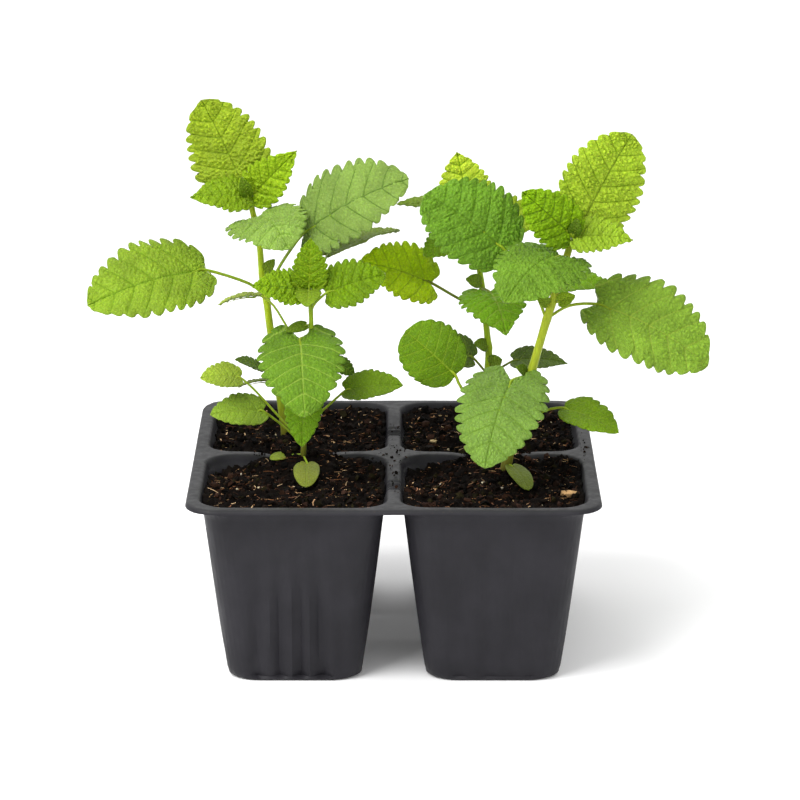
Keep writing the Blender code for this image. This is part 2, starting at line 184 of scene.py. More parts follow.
def mix(tree, amount, first, second, blend="MIX"):
    first, second = (c if hasattr(c, "is_output") else (*c, 1) for c in (first, second))
    return addNode(tree, "Mix", {0: amount, 6: first, 7: second}, data_type="RGBA", blend_type=blend).outputs[2]


def remap(tree, value, low, high, toLow=0.0, toHigh=1.0):
    return addNode(tree, "MapRange", {0: value, 1: low, 2: high, 3: toLow, 4: toHigh}).outputs[0]


def maths(tree, operation, first, second):
    return addNode(tree, "Math", {0: first, 1: second}, operation=operation).outputs[0]


def times(tree, first, second):
    return maths(tree, "MULTIPLY", first, second)


def noiseAt(tree, where, scale, detail=3.0, roughness=0.5):
    return addNode(tree, "TexNoise", {"Vector": where, "Scale": scale, "Detail": detail,
                                      "Roughness": roughness}).outputs["Fac"]


def addBump(tree, shader, height, strength, distance):
    bump = addNode(tree, "Bump", {"Height": height, "Strength": strength, "Distance": distance})
    tree.links.new(bump.outputs["Normal"], shader.inputs["Normal"])


def streaksAt(tree, where, stretch, scale):  # noise that is drawn out up and down
    drawn = addNode(tree, "Mapping", {"Vector": where, "Scale": (1.0, 1.0, stretch)}).outputs[0]
    return noiseAt(tree, drawn, scale, 3.0)


def attribute(tree, name, output="Color"):
    return addNode(tree, "Attribute", attribute_name=name).outputs[output]


def objectPlace(tree):
    return addNode(tree, "TexCoord").outputs["Object"]


def shaded(tree, tint, light):  # a colour made darker or lighter by a number
    grey = addNode(tree, "CombineColor", {0: light, 1: light, 2: light}).outputs[0]
    return mix(tree, 1.0, tint, grey, "MULTIPLY")


leafLook = {"roughness": 0.50, "rougherUnder": 0.12, "blotchScale": 0.9, "grainScale": 12.0, "hairScale": 55.0,
            "meshScale": 10.0, "bump": 0.6, "relief": 0.00036, "veinShare": 0.85, "sideShare": 0.8,
            "veinEdge": (0.25, 1.2), "underside": "A9B98A", "undersideShare": 0.45}


def veinMask(tree, distance):  # 1 on the vein, and 0 away from it
    core, end = leafLook["veinEdge"]
    return addNode(tree, "MapRange", {0: distance, 1: core, 2: end, 3: 1.0, 4: 0.0},
                   interpolation_type="SMOOTHSTEP").outputs[0]


def leafMaterial(name, under):  # under is 1 for the paler underside, where the veins stand out
    material, tree, shader = newMaterial(
        name, leafLook["roughness"] + leafLook["rougherUnder"] * under, Subsurface_Weight=0.2,
        Subsurface_Scale=0.001, Subsurface_Radius=(0.6, 1.0, 0.10), Specular_IOR_Level=0.15)
    lines = attribute(tree, "vein", "Vector")  # how far the midrib is, the count of side veins, their spacing
    midrib, count, spacing = addNode(tree, "SeparateXYZ", {0: lines}).outputs
    away = times(tree, maths(tree, "PINGPONG", count, 0.5), spacing)  # from the nearest side vein
    side = times(tree, veinMask(tree, away), leafLook["sideShare"])
    veins = maths(tree, "MAXIMUM", veinMask(tree, midrib), side)
    where = addNode(tree, "UVMap", uv_map="UVMap").outputs["UV"]
    blotch = noiseAt(tree, where, leafLook["blotchScale"], 2.0)
    grain = noiseAt(tree, where, leafLook["grainScale"], 4.0, 0.6)
    hairs = noiseAt(tree, where, leafLook["hairScale"], 2.0)
    mesh = addNode(tree, "TexVoronoi", {"Vector": where, "Scale": leafLook["meshScale"]},
                   feature="DISTANCE_TO_EDGE").outputs["Distance"]
    grooveBumpAndShade = remap(tree, mesh, 0.02, 0.16, 1.0, 0.0)
    net = attribute(tree, "net", "Fac")
    light = remap(tree, blotch, 0.3, 0.7, 0.84, 1.14)
    light = times(tree, light, remap(tree, grain, 0.3, 0.7, 0.90, 1.08))
    # painted shade and highlight: the hollows between the puckers are painted darker and the dome tops a little
    # lighter
    light = times(tree, light, remap(tree, net, 0.0, 1.0, 0.84 + 0.10 * under, 1.04))
    # painted shade: the grooves of the fine net are painted darker, besides being sunk by the bump
    light = times(tree, light, remap(tree, grooveBumpAndShade, 0.0, 1.0, 1.02, 0.88 + 0.06 * under))
    base = shaded(tree, attribute(tree, "tint"), light)
    # the veins' colour: pale veins are their own colour, and where a leaf's vein colour is darker than its
    # blade it is painted shade in the sunken veins
    base = mix(tree, times(tree, veins, leafLook["veinShare"]), base, attribute(tree, "veinTint"))
    if under:
        base = mix(tree, leafLook["undersideShare"], base, fromHex(leafLook["underside"]))
    tree.links.new(base, shader.inputs["Base Color"])
    height = times(tree, grain, 0.6)
    for part, weight in ((hairs, 0.3), (grooveBumpAndShade, -0.7), (veins, 1.6 * under - 0.8)):
        height = maths(tree, "ADD", height, times(tree, part, weight))
    addBump(tree, shader, height, leafLook["bump"], leafLook["relief"])
    return material


stemLook = {"roughness": 0.5, "streakScale": 1400.0, "stretch": 0.15, "bump": 0.4, "relief": 0.0002}


def stemMaterial():
    material, tree, shader = newMaterial(
        "stemSkin", stemLook["roughness"], Subsurface_Weight=0.12, Subsurface_Scale=0.0015,
        Sheen_Weight=0.02, Sheen_Roughness=0.5, Specular_IOR_Level=0.25)
    streak = streaksAt(tree, objectPlace(tree), stemLook["stretch"], stemLook["streakScale"])
    light = remap(tree, streak, 0.3, 0.7, 0.82, 1.14)
    tree.links.new(shaded(tree, attribute(tree, "tint"), light), shader.inputs["Base Color"])
    addBump(tree, shader, streak, stemLook["bump"], stemLook["relief"])
    return material


soilLook = {"bed": 0.92, "crumbs": 0.85, "clodScale": 420.0, "fineScale": 2400.0, "bump": 0.8, "relief": 0.0005}


def soilMaterial(name, roughness):
    material, tree, shader = newMaterial(name, roughness, Specular_IOR_Level=0.06)
    place = objectPlace(tree)
    clod = noiseAt(tree, place, soilLook["clodScale"], 5.0, 0.65)
    fine = noiseAt(tree, place, soilLook["fineScale"], 4.0, 0.6)
    light = times(tree, remap(tree, clod, 0.3, 0.7, 0.45, 1.5), remap(tree, fine, 0.3, 0.7, 0.6, 1.4))
    tree.links.new(shaded(tree, attribute(tree, "tint"), light), shader.inputs["Base Color"])
    height = maths(tree, "ADD", clod, times(tree, fine, 0.4))
    addBump(tree, shader, height, soilLook["bump"], soilLook["relief"])
    return material


trayLook = {"wall": "262529", "rimLight": "2B2C2A", "dust": "4A4236", "roughness": 0.47, "cloudScale": 60.0,
            "streakScale": 420.0, "stretch": 0.06, "speckScale": 900.0, "grainScale": 3000.0, "bump": 0.12,
            "relief": 0.0002, "rimFrom": (0.055, 0.062), "rimShare": 0.35, "dustShare": 0.5}


def trayMaterial():
    rough = trayLook["roughness"]
    material, tree, shader = newMaterial("trayPlastic", rough, Specular_IOR_Level=0.14)
    place = objectPlace(tree)
    cloud = noiseAt(tree, place, trayLook["cloudScale"], 4.0)
    streak = streaksAt(tree, place, trayLook["stretch"], trayLook["streakScale"])
    wall = fromHex(trayLook["wall"])
    base = mix(tree, remap(tree, cloud, 0.35, 0.65), 0.85 * wall, 1.12 * wall)
    normal = addNode(tree, "NewGeometry").outputs["Normal"]
    up = addNode(tree, "SeparateXYZ", {0: normal}).outputs[2]
    high = addNode(tree, "SeparateXYZ", {0: place}).outputs[2]
    atRim = times(tree, remap(tree, up, 0.3, 0.9), remap(tree, high, *trayLook["rimFrom"]))
    specks = remap(tree, noiseAt(tree, place, trayLook["speckScale"], 5.0, 0.7), 0.60, 0.70)
    dusty = times(tree, atRim, times(tree, specks, trayLook["dustShare"]))
    base = mix(tree, times(tree, atRim, trayLook["rimShare"]), base, fromHex(trayLook["rimLight"]))
    base = mix(tree, dusty, base, fromHex(trayLook["dust"]))
    tree.links.new(base, shader.inputs["Base Color"])
    tree.links.new(remap(tree, streak, 0.3, 0.7, rough - 0.06, rough + 0.10), shader.inputs["Roughness"])
    grain = noiseAt(tree, place, trayLook["grainScale"], 2.0)
    height = maths(tree, "ADD", grain, times(tree, streak, 0.5))
    addBump(tree, shader, height, trayLook["bump"], trayLook["relief"])
    return material


# Camera, lights and floor

view = {"lens": 173.25, "pitch": 15.4, "place": (2.1, -1294.0, 440.0)}
light = {"sky": 0.84, "backdrop": 1.0, "floor": 0.93, "floorGlow": 0.045}
lamps = (("keyLight", (-520, -440, 880), 13.5, 0.75, (0, 0, 90)),  # name, place, power, size, where it aims
         ("fillLight", (500, -700, 500), 1.2, 0.9, (0, 0, 90)),
         ("rearLight", (0, 2300, 1900), 27.0, 2.5, (0, 1700, 0)))


def makeCamera():
    bpy.ops.object.camera_add(location=spot(*view["place"]), rotation=(radians(90 - view["pitch"]), 0, 0))
    camera = bpy.context.object
    camera.name = "photoCamera"
    camera.data.lens = view["lens"]
    camera.data.clip_start = 0.05
    bpy.context.scene.camera = camera


def makeRoom():
    bpy.context.scene.view_settings.view_transform = "Standard"
    world = bpy.data.worlds.new("paleStudio")
    bpy.context.scene.world = world
    world.use_nodes = True
    tree = world.node_tree
    path = addNode(tree, "LightPath").outputs["Is Camera Ray"]
    glow = remap(tree, path, 0.0, 1.0, light["sky"], light["backdrop"])  # the backdrop shows white
    tree.links.new(glow, tree.nodes["Background"].inputs["Strength"])
    tree.nodes["Background"].inputs["Color"].default_value = (1, 1, 1, 1)
    for name, place, power, size, target in lamps:
        bpy.ops.object.light_add(type="AREA", location=spot(*place))
        lamp = bpy.context.object
        lamp.name = name
        lamp.data.energy = power
        lamp.data.size = size
        lamp.rotation_euler = (spot(*target) - lamp.location).to_track_quat("-Z", "Y").to_euler()
    bpy.ops.mesh.primitive_plane_add(size=9.0, location=spot(0, 0, 0))
    floor = bpy.context.object
    floor.name = "paleFloor"
    paper = newMaterial("palePaper", 0.9, Specular_IOR_Level=0.1, Base_Color=(*[light["floor"]] * 3, 1),
                        Emission_Color=(1, 1, 1, 1), Emission_Strength=light["floorGlow"])[0]
    coat(floor, paper)


# Tray: one formed sheet with four pots

tray = {"pitch": 0.0675, "opening": 0.0648, "height": 0.0645, "sheet": 0.0008, "corner": 0.0095,
        "rings": ((0.00012, 0.0644), (0.0005, 0.0640), (0.0014, 0.0634), (0.0026, 0.0628), (0.0034, 0.0616),
                  (0.0052, 0.0606), (0.0600, 0.0476), (0.0618, 0.0468), (0.0630, 0.0457), (0.0637, 0.0438)),
        "rim": ((0.0, 0.1370), (0.0001, 0.1377), (0.0004, 0.1382), (0.0008, 0.1384)),
        "cut": 0.0015, "rimCorner": 0.0105, "dividerHalf": 0.0042, "dip": 0.0027, "dipReach": 0.0095,
        "rib": 0.0008, "ribPitch": 0.0031, "ribReach": 0.0055, "potHalf": (0.0237, 0.0308), "slope": 0.060,
        "flute": 0.0026, "fluteFade": (0.059, 0.028), "fluteEnds": (0.62, 0.86), "scallop": 0.0010,
        "scallops": (-0.42, 0.06, 0.48), "scallopWide": 0.10, "scallopHigh": 0.0045, "sag": 0.00025,
        "drain": 0.006}
sheetTop = tray["height"] - tray["sheet"]
fluteRows = {  # place across the wall from -1 to 1, width and depth of each flute
    "FrontLeft": ((-0.52, 0.10, 0.8), (-0.20, 0.09, 1.0), (0.08, 0.08, 0.9), (0.36, 0.10, 1.0),
                  (0.68, 0.12, 0.4)),
    "FrontRight": ((-0.50, 0.12, 0.35), (-0.08, 0.10, 0.40), (0.24, 0.10, 0.30), (0.58, 0.12, 0.25)),
    "RearLeft": ((-0.45, 0.12, 0.6), (0.10, 0.12, 0.7), (0.52, 0.12, 0.5)),
    "RearRight": ((-0.50, 0.12, 0.5), (0.0, 0.14, 0.6), (0.45, 0.12, 0.5)),
}


def cellMiddle(cell):
    sideX, sideY = cells[cell]
    return trayMid.x + sideX * tray["pitch"] / 2, trayMid.y + sideY * tray["pitch"] / 2


def sinkPot(piece, cell):
    midX, midY = cellMiddle(cell)
    width = tray["opening"]
    pick(piece, "faces", lambda face: abs(face.calc_center_median().x - midX) < 0.001
         and abs(face.calc_center_median().y - midY) < 0.001)
    level = sheetTop
    for drop, ringWidth in tray["rings"]:
        down = sheetTop - drop - level
        level += down
        extrudeTo(down, ringWidth / width, (midX, midY, level))
        width = ringWidth


def addRim(piece):
    width = 2 * tray["pitch"]
    fallen = 0.0
    for drop, rimWidth in tray["rim"]:
        pick(piece, "edges", lambda edge: edge.is_boundary)
        extrudeTo(fallen - drop, rimWidth / width, (trayMid.x, trayMid.y, 0))
        width, fallen = rimWidth, drop


def roundCorners(x, y, z):  # takes the square outline of the rim to one with round corners
    corner = tray["rimCorner"]
    reach = tray["rim"][-1][1] / 2 - corner
    dx = np.abs(x) - reach
    dy = np.abs(y) - reach
    most = np.maximum(np.maximum(dx, dy), 1e-6)
    inward = most / np.maximum(np.hypot(dx, dy), 1e-6) - 1
    nearRim = smoothStep(tray["height"] - 0.006, tray["height"] - 0.003, z)
    pull = 1 + np.where((dx > 0) & (dy > 0), inward * (most / corner) ** 2 * nearRim, 0)
    outX = np.where(dx > 0, np.sign(x) * (reach + dx * pull), x)
    outY = np.where(dy > 0, np.sign(y) * (reach + dy * pull), y)
    return outX, outY


def cutGrid(piece, axis, places, test):  # lines across the sheet, where it is bent later
    normal = [float(k == axis) for k in range(3)]
    for place in places:
        pick(piece, "faces", test)
        bpy.ops.mesh.bisect(plane_co=[place * n for n in normal], plane_no=normal, use_fill=False)


def gridLines(low, high, step):
    count = max(1, round((high - low) / step))
    return [low + (high - low) * k / count for k in range(1, count)]


def formTray(points):
    out = points.copy()
    x = points[:, 0] - trayMid.x
    y = points[:, 1] - trayMid.y
    z = points[:, 2]
    half = tray["pitch"] / 2
    roundX, roundY = roundCorners(x, y, z)
    out[:, 0] = roundX + trayMid.x
    out[:, 1] = roundY + trayMid.y
    nearTop = smoothStep(tray["height"] - 0.010, tray["height"] - 0.001, z)
    for across, along in ((x, y), (y, x)):
        onDivider = np.exp(-(across / tray["dividerHalf"]) ** 4) * nearTop
        out[:, 2] -= tray["dip"] * np.exp(-((np.abs(along) - half) / tray["dipReach"]) ** 2) * onDivider
    alongRibs = np.abs(y) - half
    ribbed = np.exp(-(alongRibs / tray["ribReach"]) ** 4) * np.exp(-(x / tray["dividerHalf"]) ** 4) * nearTop
    out[:, 2] += tray["rib"] * np.cos(2 * pi * alongRibs / tray["ribPitch"]) * ribbed
    foot, top = tray["potHalf"]
    rise = z / tray["slope"]
    halfWide = foot + (top - foot) * np.clip(rise, 0, 1)
    fan = 0.62 + 0.45 * np.clip(1 - rise, 0, 1)  # the flutes spread towards the foot
    down = smoothStep(*tray["fluteFade"], z)
    for cell, flutes in fluteRows.items():
        midX, midY = cellMiddle(cell)
        dx = points[:, 0] - midX
        dy = points[:, 1] - midY
        inCell = (np.maximum(np.abs(dx), np.abs(dy)) < half) & (z < tray["height"] - 0.0052)
        for wall, run, axis in ((dy, dx, 1), (dx, dy, 0)):
            onWall = inCell & (np.abs(wall) >= np.abs(run)) & (z > 0.0012)
            s = run / halfWide
            fade = 1 - smoothStep(*tray["fluteEnds"], np.abs(s))
            depth = sum(share * np.exp(-((s - place * fan) / wide) ** 2) for place, wide, share in flutes)
            notches = sum(np.exp(-((s - place) / tray["scallopWide"]) ** 2) for place in tray["scallops"])
            push = tray["flute"] * depth * down * fade
            push += tray["scallop"] * notches * np.clip(1 - z / tray["scallopHigh"], 0, 1)
            out[:, axis] -= np.where(onWall, np.sign(wall) * push, 0)
    sag = np.array([noise.noise(Vector(p) * 28) for p in points])
    out[:, 2] += tray["sag"] * sag * smoothStep(0.040, 0.060, z)
    return out


def makeTray():
    deselectAll()
    bpy.ops.mesh.primitive_grid_add(x_subdivisions=2, y_subdivisions=2, size=2 * tray["pitch"],
                                    location=(trayMid.x, trayMid.y, sheetTop))
    piece = bpy.context.object
    piece.name = "nurseryTray"
    settle(piece)
    setMode("EDIT")
    bpy.ops.mesh.select_all(action="SELECT")
    bpy.ops.mesh.inset(thickness=(tray["pitch"] - tray["opening"]) / 2, use_individual=True)
    for cell in cells:
        sinkPot(piece, cell)
    pick(piece, "edges", lambda edge: abs(edge.verts[0].co.z - edge.verts[1].co.z) > 0.00005)
    bpy.ops.mesh.bevel(offset=tray["corner"], segments=8, affect="EDGES")
    addRim(piece)
    edge = tray["pitch"]
    everywhere = lambda face: True
    belowRim = lambda face: face.calc_center_median().z < sheetTop - 0.004 and abs(face.normal.z) < 0.7
    nearRibs = lambda face: (abs(face.calc_center_median().x - trayMid.x) < 0.007
                             and face.calc_center_median().z > sheetTop - 0.011)
    for axis, middle in ((0, trayMid.x), (1, trayMid.y)):
        cutGrid(piece, axis, [middle + p for p in gridLines(-edge, edge, tray["cut"])], everywhere)
    cutGrid(piece, 2, gridLines(0.0028, sheetTop - 0.0045, 0.0038), belowRim)
    cutGrid(piece, 2, [sheetTop - drop for drop in (0.009, 0.0066, 0.002)], nearRibs)
    for side in (-1, 1):
        ribMiddle = trayMid.y + side * edge / 2
        cutGrid(piece, 1, gridLines(ribMiddle - 0.0066, ribMiddle + 0.0066, 0.00055), nearRibs)
    setMode("OBJECT")
    setPoints(piece, formTray(meshPoints(piece)))
    wall = piece.modifiers.new("sheet", "SOLIDIFY")
    wall.thickness = tray["sheet"]
    wall.offset = 1
    applyModifier(piece, wall)
    for cell in cells:
        midX, midY = cellMiddle(cell)
        bpy.ops.mesh.primitive_cylinder_add(vertices=32, radius=tray["drain"], depth=0.008,
                                            location=(midX, midY, 0))
        punch = bpy.context.object
        settle(punch)
        hole = piece.modifiers.new("drain", "BOOLEAN")
        hole.operation = "DIFFERENCE"
        hole.object = punch
        applyModifier(piece, hole)
        bpy.data.objects.remove(punch)
    onlyThis(piece)
    bpy.ops.object.shade_smooth_by_angle(angle=radians(38))
    coat(piece, trayMaterial())
    standFor(piece, "tray_plastic", "tray")
    print("tray:", len(piece.data.polygons), "faces")


# Soil: a rough bed in each pot, with crumbs, fibres and grit lying on it

soil = {"level": 0.0609, "mound": 0.0030, "moundSpread": 0.012, "half": 0.0308, "corner": 0.0112, "steps": 104,
        "rough": 0.0017, "fine": 0.0009, "chunk": 0.0014, "chunkSize": 0.0030, "rearLift": 0.0020,
        "clear": 0.0010, "neck": 0.008, "neckShare": 0.92, "floor": 0.0011, "floorShare": 0.62}
strewn = {"crumbs": (1500, 0.2, 1.5), "fibres": (700, 0.4, 2.2), "grit": (34, 0.2, 0.6)}  # count, sizes in mm
soilHeaps = {"FrontLeft": ((2, 30, 10, 5.0), (-24, 24, 9, -4.5), (-29, -10, 13, 1.9), (10, -28, 16, 0.8)),
             "RearLeft": ((2, -30, 9, 3.6), (-20, -24, 12, 0.6), (24, 10, 10, 1.0)),
             "FrontRight": ((-24, 22, 9, -4.5), (0, 30, 9, 4.0), (27, 20, 10, 2.2), (29, -8, 13, 1.7),
                            (0, -28, 18, 0.8)),
             "RearRight": ((0, -30, 9, 3.2), (-22, -16, 9, 1.2), (10, 24, 12, -1.0))}
soilColours = {"bed": "0B0705",
               "crumbs": ("080604", "0F0A07", "1A110B", "2A1A11", "140E09", "070504", "33221A", "201C0C"),
               "fibres": ("5A3822", "4A2C1A", "7A5030", "3E2615", "8C6440", "A8845A", "2C1A10", "20130C",
                          "8A6048", "2C1A10", "3A2416", "C8A880", "B48C66"),
               "grit": ("C4B494", "A08860", "D8CCB4")}
pebbles = {"FrontLeft": ((-12.0, 2.0, (1.1, 0.9, 0.7), "B8A888"),),
           "RearLeft": ((-25.7, -25.5, (1.5, 1.1, 0.9), "CFC09A"),),
           "FrontRight": ((25.3, -12.0, (2.9, 1.9, 1.4), "B08C60"), (-3.0, 4.0, (0.9, 0.8, 0.6), "C8BCA0")),
           "RearRight": ((-20.0, -14.0, (1.2, 1.0, 0.7), "A8946C"),)}


def soilLevel(x, y, cell):  # height of the soil at a place, in metres
    midX, midY = cellMiddle(cell)
    foot = spot(*plants[cell]["stem"][0])
    away = hypot(x - foot.x, y - foot.y)
    level = soil["level"] + soil["mound"] * exp(-(away / soil["moundSpread"]) ** 2)
    for heapX, heapY, wide, high in soilHeaps[cell]:
        gap = hypot((x - midX) / mm - heapX, (y - midY) / mm - heapY)
        level += high * mm * exp(-(gap / wide) ** 2)
    level += soil["rearLift"] * float(smoothStep(0.006, 0.026, y - midY))
    level += soil["rough"] * noise.fractal(Vector((x, y, 0.3)) * 150, 1.0, 2.0, 4)
    level += soil["fine"] * noise.noise(Vector((x, y, 0.7)) * 900)
    near = noise.voronoi(Vector((x, y, 0.5)) / soil["chunkSize"])[0][0]
    level += soil["chunk"] * (0.5 - near)
    return level


def cornerReach(angle):  # how far the round-cornered soil runs in a direction
    dx, dy = abs(cos(angle)), abs(sin(angle))
    straight = soil["half"] / max(dx, dy)
    inner = soil["half"] - soil["corner"]
    if min(dx, dy) * straight <= inner:
        return straight
    return inner * (dx + dy) + sqrt((inner * (dx + dy)) ** 2 - (2 * inner ** 2 - soil["corner"] ** 2))


def wallHalf(level):  # half the width inside a pot at a height
    drops, widths = np.array(tray["rings"])[::-1].T
    return float(np.interp(level, sheetTop - drops, widths / 2))


def makeSoilBed(cell, peat):
    midX, midY = cellMiddle(cell)
    deselectAll()
    bpy.ops.mesh.primitive_grid_add(x_subdivisions=soil["steps"], y_subdivisions=soil["steps"], size=2)
    bed = bpy.context.object
    for vertex in bed.data.vertices:
        a, b = vertex.co.x, vertex.co.y
        angle = atan2(b, a)
        share = max(abs(a), abs(b))
        reach = cornerReach(angle) * share
        level = soilLevel(midX + reach * cos(angle), midY + reach * sin(angle), cell)
        narrow = min(1, (wallHalf(level) - soil["clear"]) / soil["half"]) - 1
        reach *= 1 + narrow * float(smoothStep(0.8, 1.0, share))
        vertex.co = (midX + reach * cos(angle), midY + reach * sin(angle), level)
    setMode("EDIT")
    pick(bed, "edges", lambda edge: edge.is_boundary)
    extrudeTo(-soil["neck"], soil["neckShare"], (midX, midY, 0))
    extrudeTo(-soil["neck"], soil["floorShare"], (midX, midY, soil["floor"]), 0)  # flat at the floor
    bpy.ops.mesh.edge_face_add()
    setMode("OBJECT")
    smoothFaces(bed)
    shade = np.array([noise.noise(Vector(p) * 260) for p in meshPoints(bed)])[:, None]
    setTint(bed, fromHex(soilColours["bed"]) * (1.1 + 0.9 * shade))
    coat(bed, peat)
    return bed


def makeSeed(kind):  # one crumb or fibre, modelled at unit size and copied
    deselectAll()
    if kind == "fibre":
        bpy.ops.mesh.primitive_cylinder_add(vertices=4, radius=0.13, depth=2)
        seed = bpy.context.object
        setMode("EDIT")
        bpy.ops.mesh.bisect(plane_co=(0, 0, 0.3), plane_no=(0, 0, 1))
        bpy.ops.mesh.select_all(action="SELECT")
        bpy.ops.mesh.bisect(plane_co=(0, 0, -0.35), plane_no=(0, 0, 1))
        setMode("OBJECT")
        for vertex in seed.data.vertices:
            vertex.co.x += 0.22 * vertex.co.z ** 2
            vertex.co.y *= 0.6
    else:
        bpy.ops.mesh.primitive_ico_sphere_add(subdivisions=1, radius=1)
        seed = bpy.context.object
        for vertex in seed.data.vertices:
            vertex.co *= 1 + 0.9 * noise.noise(vertex.co * 1.7 + Vector((3, 1, 2)))
    return seed


def scatter(name, seed, places, material):  # each place: where, size along three axes, turn, colour
    base = meshPoints(seed)
    faces = [tuple(p.vertices) for p in seed.data.polygons]
    points, shapes, colours = [], [], []
    for place, size, turn, colour in places:
        start = len(points) * len(base)
        matrix = np.array(turn.to_matrix())
        points.append((base * np.array(size)) @ matrix.T + np.array(place))
        shapes += [tuple(start + k for k in face) for face in faces]
        colours.append(np.repeat([colour], len(base), axis=0))
    mesh = bpy.data.meshes.new(name)
    mesh.from_pydata(np.concatenate(points).tolist(), [], shapes)
    piece = bpy.data.objects.new(name, mesh)
    bpy.context.scene.collection.objects.link(piece)
    setTint(piece, np.concatenate(colours))
    mesh.materials.append(material)
    return piece


def randomTurn(draw, flat=False):
    tilt = 0.35 if flat else pi
    lie = pi / 2 if flat else 0
    turns = (lie + draw.uniform(-tilt, tilt), draw.uniform(-tilt, tilt), draw.uniform(0, 2 * pi))
    return Euler(turns).to_quaternion()


def onSoil(draw, cell, spread=0.94):
    midX, midY = cellMiddle(cell)
    angle = draw.uniform(0, 2 * pi)
    reach = cornerReach(angle) * spread * sqrt(draw.random())
    x = midX + reach * cos(angle)
    y = midY + reach * sin(angle)
    return x, y, soilLevel(x, y, cell)


def strew(cell, seeds, crumbPeat):
    draw = random.Random("soil" + cell)
    pieces = []
    for kind, (count, low, high) in strewn.items():
        places = []
        for _ in range(count):
            x, y, z = onSoil(draw, cell)
            size = low + (high - low) * draw.random() ** 3.6
            wide = [size * draw.uniform(0.45, 1.3) * mm for _ in range(3)]
            if kind == "fibres":
                wide = [draw.uniform(0.5, 1.8) * mm, draw.uniform(0.5, 1.2) * mm, size * mm]
            colour = fromHex(draw.choice(soilColours[kind])) * draw.uniform(0.45, 1.1)
            places.append(((x, y, z + 0.25 * size * mm), wide, randomTurn(draw, kind == "fibres"), colour))
        pieces.append(scatter(kind + cell, seeds[kind], places, crumbPeat))
    places = []
    midX, midY = cellMiddle(cell)
    turn = Euler((0.2, 0.1, 0.3)).to_quaternion()
    for x, y, wide, tone in pebbles[cell]:
        place = (midX + x * mm, midY + y * mm)
        height = soilLevel(*place, cell) + 0.4 * wide[2] * mm
        places.append(((*place, height), [w * mm for w in wide], turn, fromHex(tone)))
    pieces.append(scatter("pebbles" + cell, seeds["grit"], places, crumbPeat))
    return pieces


def makeSoil():
    peat = soilMaterial("peatBed", soilLook["bed"])
    crumbPeat = soilMaterial("peatCrumbs", soilLook["crumbs"])
    crumb = makeSeed("crumb")
    seeds = {"crumbs": crumb, "fibres": makeSeed("fibre"), "grit": crumb}
    for cell in cells:
        bed = joinPieces([makeSoilBed(cell, peat)] + strew(cell, seeds, crumbPeat), "soilBed" + cell)
        standFor(bed, "soil", "soil_" + nodeNames[cell])
    print("soil: four beds")
    makeSpill(crumb, crumbPeat)
    for seed in (crumb, seeds["fibres"]):
        bpy.data.objects.remove(seed)


spill = {  # middle, half width and half depth in millimetres, and how many crumbs
    "cross": (0, 0, 6, 14, 36), "rightFlange": (66.5, 8, 1.6, 16, 24), "leftHeap": (-33, 0, 10, 2.4, 300),
    "rightHeap": (36, 0, 9, 2.2, 150), "frontDivider": (0, -30, 1.6, 18, 16),
    "rearDivider": (0, 32, 1.6, 18, 12),
}


def makeSpill(crumb, crumbPeat):  # crumbs that lie on the rim and on the dividers
    draw = random.Random("spill")
    places = []
    for x, y, wide, deep, count in spill.values():
        for _ in range(count):
            px = x + wide * max(-1.6, min(1.6, draw.gauss(0, 0.55)))
            py = y + deep * max(-1.3, min(1.3, draw.gauss(0, 0.55)))
            size = 0.2 + 0.5 * draw.random() ** 2.5
            heap = count > 100
            lift = 0.9 * exp(-((px - x) / wide) ** 2) * draw.random() if heap else 0
            base = tray["height"] / mm - (1.9 * exp(-((abs(px) - 33.75) / 9.5) ** 2) if heap else 0)
            colour = fromHex(draw.choice(soilColours["crumbs"])) * draw.uniform(0.6, 1.1)
            sizes = [size * draw.uniform(0.6, 1.1) * mm for _ in range(3)]
            sizes[2] *= 0.6
            places.append((tuple(spot(px, py, base + lift + 0.15 * size)), sizes, randomTurn(draw), colour))
    standFor(scatter("spilledCrumbs", crumb, places, crumbPeat), "soil")


# Plants: leaves with veins and toothed edges, on fine stalks

leafTone = np.array((0.66, 0.64, 0.30))  # takes the screen colours below to the leaf's own in this light
leafUsual = {"via": (), "face": (0, -3, 4), "arch": 0.08, "fold": 0.12, "lobe": 0.10, "teeth": 9,
             "cut": 0.115, "point": 0.72, "crinkle": 0.5, "veins": "9DB85A"}
bud = {"face": (0, -9, 4), "teeth": 0}
seedLeaf = {"fold": 0, "teeth": 0, "point": 0.5}
crown = {"cut": 0.12, "point": 1.0, "crinkle": 0.8}
large = {"teeth": 11, "cut": 0.135, "point": 0.6}
upright = {"arch": -0.05, "fold": 0.05, "teeth": 11}


def leaf(name, foot, base, tip, width, tone, kind=leafUsual, **shape):  # foot is on the stem
    return {**leafUsual, **kind, "name": name, "foot": foot, "base": base, "tip": tip, "width": width,
            "tone": tone, **shape}


